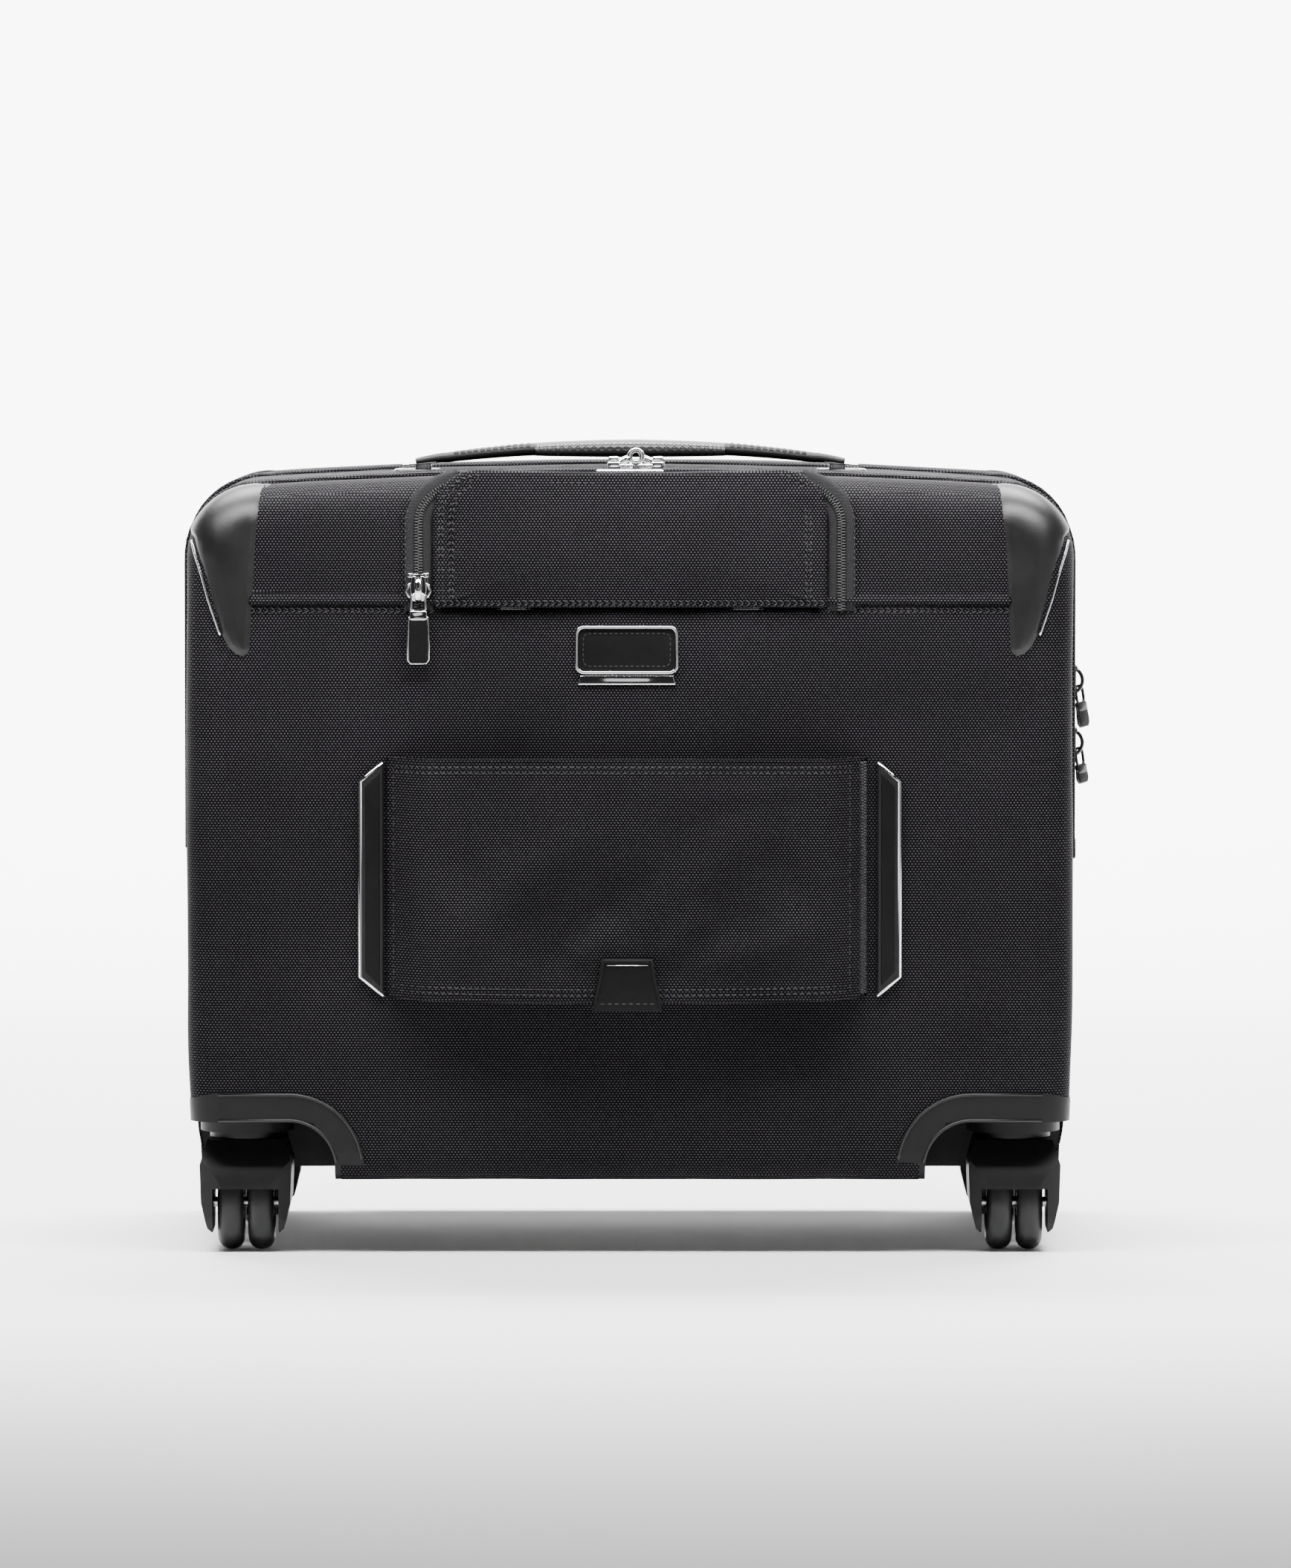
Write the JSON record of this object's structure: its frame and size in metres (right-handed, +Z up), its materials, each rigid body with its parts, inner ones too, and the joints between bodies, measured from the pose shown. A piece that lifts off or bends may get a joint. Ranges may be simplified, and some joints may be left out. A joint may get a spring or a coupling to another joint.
{
  "type": "rolling laptop case",
  "caption": "Soft black rolling laptop case on twin-wheel casters, with telescoping handle, sleeve for another handle, zipped flap, carry handle and hinged front compartment.",
  "frame": {"origin": "on the floor, under the middle of the case body", "axes": "+X to the right seen from behind, +Y towards the front, +Z up"},
  "size_m": [0.4363, 0.2426, 0.3855],
  "materials": {
    "nylon": "ballistic nylon weave",
    "moulded": "satin moulded",
    "guard": "smooth leather over moulded guard",
    "leather": "black leather",
    "zip_tape": "woven zip tape",
    "lining": "dark grey lining",
    "chrome": "polished",
    "tube": "black anodised",
    "post": "polished",
    "steel": "turned",
    "tread": "satin wheel"
  },
  "bodies": {
    "case": {"base_guards": "moulded", "base_pan": "moulded", "body_shell": "nylon", "carry_anchors": "chrome", "caster_mounts": "moulded", "flap_zip_tapes": "zip_tape", "front_zip_band": "zip_tape", "handle_foot": "moulded", "handle_well": "moulded", "laptop_divider": "lining", "laptop_strap": "lining", "lid_hinge_strip": "moulded", "liner_board": "lining", "monogram_patch": "leather", "outer_tubes": "tube", "patch_frame": "chrome", "rear_top_guards": "guard", "rear_zip_band": "zip_tape", "sleeve_brackets": "guard", "sleeve_panel": "nylon", "sleeve_tab": "leather"},
    "lid": {"front_lid": "nylon", "lid_pocket": "lining", "lid_top_guards": "guard", "front_pocket": "nylon", "front_pocket_zip": "zip_tape"},
    "pocket_slider": {"front_pocket_slider": "chrome"},
    "handle_stage_1": {"stage_1_tubes": "post"},
    "handle_stage_2": {"stage_2_tubes": "post"},
    "handle_stage_3": {"stage_3_tubes": "post", "handle_yoke": "chrome", "handle_grip": "leather"},
    "button": {"handle_button": "chrome"},
    "flap": {"handle_flap": "nylon"},
    "flap_slider": {"flap_slider": "chrome"},
    "flap_pull": {"flap_pull": "chrome"},
    "rear_slider_left": {"rear_zip_slider_left": "chrome"},
    "rear_slider_right": {"rear_zip_slider_right": "chrome"},
    "front_slider_upper": {"front_zip_slider_upper": "chrome"},
    "front_pull_upper": {"front_zip_pull_upper": "chrome"},
    "front_slider_lower": {"front_zip_slider_lower": "chrome"},
    "front_pull_lower": {"front_zip_pull_lower": "chrome"},
    "carry_handle": {"carry_strap": "leather", "carry_tips": "chrome"},
    "caster_rear_left": {"fork_rear_left": "moulded", "axle_rear_left": "steel"},
    "wheel_rear_left_a": {"wheel_rear_left_a": "tread"},
    "wheel_rear_left_b": {"wheel_rear_left_b": "tread"},
    "caster_rear_right": {"fork_rear_right": "moulded", "axle_rear_right": "steel"},
    "wheel_rear_right_a": {"wheel_rear_right_a": "tread"},
    "wheel_rear_right_b": {"wheel_rear_right_b": "tread"},
    "caster_front_left": {"fork_front_left": "moulded", "axle_front_left": "steel"},
    "wheel_front_left_a": {"wheel_front_left_a": "tread"},
    "wheel_front_left_b": {"wheel_front_left_b": "tread"},
    "caster_front_right": {"fork_front_right": "moulded", "axle_front_right": "steel"},
    "wheel_front_right_a": {"wheel_front_right_a": "tread"},
    "wheel_front_right_b": {"wheel_front_right_b": "tread"}
  },
  "joints": [
    {"name": "lid_hinge", "type": "hinge", "parent": "case", "child": "lid", "pos_m": [0, 0.1033, 0.0775], "axis": [-1, 0, 0], "range_deg": [0, 80]},
    {"name": "pocket_zip_slide", "type": "slide", "parent": "lid", "child": "pocket_slider", "axis": [1, 0, 0], "range_m": [0, 0.255]},
    {"name": "handle_slide_1", "type": "slide", "parent": "case", "child": "handle_stage_1", "axis": [0, 0, 1], "range_m": [0, 0.2]},
    {"name": "handle_slide_2", "type": "slide", "parent": "handle_stage_1", "child": "handle_stage_2", "axis": [0, 0, 1], "range_m": [0, 0.2]},
    {"name": "handle_slide_3", "type": "slide", "parent": "handle_stage_2", "child": "handle_stage_3", "axis": [0, 0, 1], "range_m": [0, 0.2]},
    {"name": "button_press", "type": "slide", "parent": "handle_stage_3", "child": "button", "axis": [0, 0, -1], "range_m": [0, 0.0025], "stiffness_N_per_m": 400, "springref_m": -0.002},
    {"name": "flap_hinge", "type": "hinge", "parent": "case", "child": "flap", "pos_m": [0, -0.1149, 0.3097], "axis": [1, 0, 0], "range_deg": [0, 165]},
    {"name": "flap_zip_slide", "type": "slide", "parent": "case", "child": "flap_slider", "axis": [0, 0, 1], "range_m": [0, 0.026]},
    {"name": "flap_pull_swing", "type": "hinge", "parent": "flap_slider", "child": "flap_pull", "pos_m": [-0.1006, -0.1168, 0.3159], "axis": [-1, 0, 0], "range_deg": [-4, 140]},
    {"name": "rear_zip_slide_left", "type": "slide", "parent": "case", "child": "rear_slider_left", "axis": [1, 0, 0], "range_m": [-0.12, 0]},
    {"name": "rear_zip_slide_right", "type": "slide", "parent": "case", "child": "rear_slider_right", "axis": [1, 0, 0], "range_m": [0, 0.12]},
    {"name": "front_zip_slide_upper", "type": "slide", "parent": "case", "child": "front_slider_upper", "axis": [0, 0, 1], "range_m": [0, 0.03]},
    {"name": "front_pull_swing_upper", "type": "hinge", "parent": "front_slider_upper", "child": "front_pull_upper", "pos_m": [0.2193, 0.028, 0.2639], "axis": [0, -1, 0], "range_deg": [0, 140]},
    {"name": "front_zip_slide_lower", "type": "slide", "parent": "case", "child": "front_slider_lower", "axis": [0, 0, 1], "range_m": [-0.0055, 0]},
    {"name": "front_pull_swing_lower", "type": "hinge", "parent": "front_slider_lower", "child": "front_pull_lower", "pos_m": [0.2193, 0.028, 0.2334], "axis": [0, -1, 0], "range_deg": [0, 140]},
    {"name": "carry_lift", "type": "slide", "parent": "case", "child": "carry_handle", "axis": [0, 0, 1], "range_m": [0, 0.004]},
    {"name": "swivel_rear_left", "type": "hinge", "parent": "case", "child": "caster_rear_left", "pos_m": [-0.184, -0.075, 0.055], "axis": [0, 0, 1], "continuous": true},
    {"name": "roll_rear_left_a", "type": "hinge", "parent": "caster_rear_left", "child": "wheel_rear_left_a", "pos_m": [-0.19125, -0.083, 0.0225], "axis": [1, 0, 0], "continuous": true},
    {"name": "roll_rear_left_b", "type": "hinge", "parent": "caster_rear_left", "child": "wheel_rear_left_b", "pos_m": [-0.17675, -0.083, 0.0225], "axis": [1, 0, 0], "continuous": true},
    {"name": "swivel_rear_right", "type": "hinge", "parent": "case", "child": "caster_rear_right", "pos_m": [0.184, -0.075, 0.055], "axis": [0, 0, 1], "continuous": true},
    {"name": "roll_rear_right_a", "type": "hinge", "parent": "caster_rear_right", "child": "wheel_rear_right_a", "pos_m": [0.17675, -0.083, 0.0225], "axis": [1, 0, 0], "continuous": true},
    {"name": "roll_rear_right_b", "type": "hinge", "parent": "caster_rear_right", "child": "wheel_rear_right_b", "pos_m": [0.19125, -0.083, 0.0225], "axis": [1, 0, 0], "continuous": true},
    {"name": "swivel_front_left", "type": "hinge", "parent": "case", "child": "caster_front_left", "pos_m": [-0.184, 0.075, 0.055], "axis": [0, 0, 1], "continuous": true},
    {"name": "roll_front_left_a", "type": "hinge", "parent": "caster_front_left", "child": "wheel_front_left_a", "pos_m": [-0.19125, 0.067, 0.0225], "axis": [1, 0, 0], "continuous": true},
    {"name": "roll_front_left_b", "type": "hinge", "parent": "caster_front_left", "child": "wheel_front_left_b", "pos_m": [-0.17675, 0.067, 0.0225], "axis": [1, 0, 0], "continuous": true},
    {"name": "swivel_front_right", "type": "hinge", "parent": "case", "child": "caster_front_right", "pos_m": [0.184, 0.075, 0.055], "axis": [0, 0, 1], "continuous": true},
    {"name": "roll_front_right_a", "type": "hinge", "parent": "caster_front_right", "child": "wheel_front_right_a", "pos_m": [0.17675, 0.067, 0.0225], "axis": [1, 0, 0], "continuous": true},
    {"name": "roll_front_right_b", "type": "hinge", "parent": "caster_front_right", "child": "wheel_front_right_b", "pos_m": [0.19125, 0.067, 0.0225], "axis": [1, 0, 0], "continuous": true}
  ],
  "couplings": [
    {"joint": "handle_slide_2", "follows": "handle_slide_1", "ratio": 1},
    {"joint": "handle_slide_3", "follows": "handle_slide_1", "ratio": 1}
  ]
}
